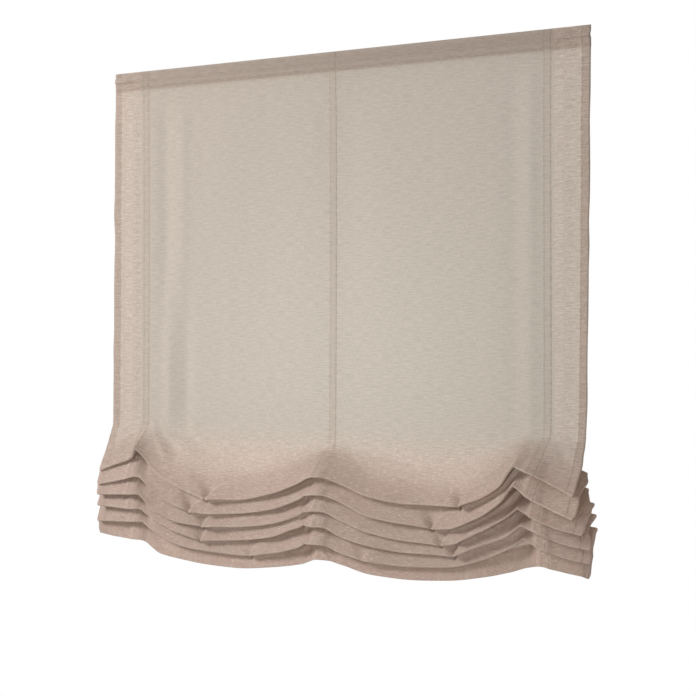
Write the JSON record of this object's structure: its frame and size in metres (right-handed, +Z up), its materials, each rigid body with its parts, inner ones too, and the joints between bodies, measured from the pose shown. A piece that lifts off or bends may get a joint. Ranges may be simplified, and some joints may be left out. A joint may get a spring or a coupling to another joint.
{
  "type": "roman blind",
  "caption": "Soft roman blind, partly raised: linen cloth that swags between sewn tapes, hung on a slim head rail with lift cords, spools and a side chain drive.",
  "frame": {"origin": "on the wall plane, in the middle of the width, halfway between the brackets' wall screws", "axes": "+X along the head rail to the right as seen from the room, -Y into the room, +Z up"},
  "size_m": [1.35, 0.1393, 1.2229],
  "materials": {
    "cloth": "matte woven cloth with slubs",
    "tape": "matte woven tape",
    "loop": "matte loop pile",
    "hook": "matte hooks",
    "clear_plastic": "smooth",
    "white_plastic": "satin",
    "grey_plastic": "satin",
    "white_aluminium": "powder coat",
    "shaft_aluminium": "as extruded",
    "white_steel": "powder coat",
    "zinc_steel": "zinc plated",
    "cord": "braided"
  },
  "bodies": {
    "frame": {"fabric_panel": "cloth", "tape_left": "tape", "tape_centre": "tape", "tape_right": "tape", "cord_rings": "clear_plastic", "loop_tape": "loop", "hook_tape": "hook", "head_rail": "white_aluminium", "end_cap": "white_plastic", "spool_cradles": "white_plastic", "lift_cord_left": "cord", "lift_cord_centre": "cord", "lift_cord_right": "cord", "cord_stops": "clear_plastic", "drive_housing": "white_plastic", "drive_cover": "white_plastic", "drive_screws": "zinc_steel", "wall_brackets": "white_steel", "rail_clips": "zinc_steel", "clip_screws": "zinc_steel"},
    "drive": {"drive_shaft": "shaft_aluminium", "cord_spools": "white_plastic", "wound_cord": "cord", "chain_wheel": "grey_plastic"}
  },
  "joints": [
    {"name": "drive_turn", "type": "hinge", "parent": "frame", "child": "drive", "pos_m": [0, -0.037, -0.0015], "axis": [1, 0, 0], "continuous": true}
  ]
}
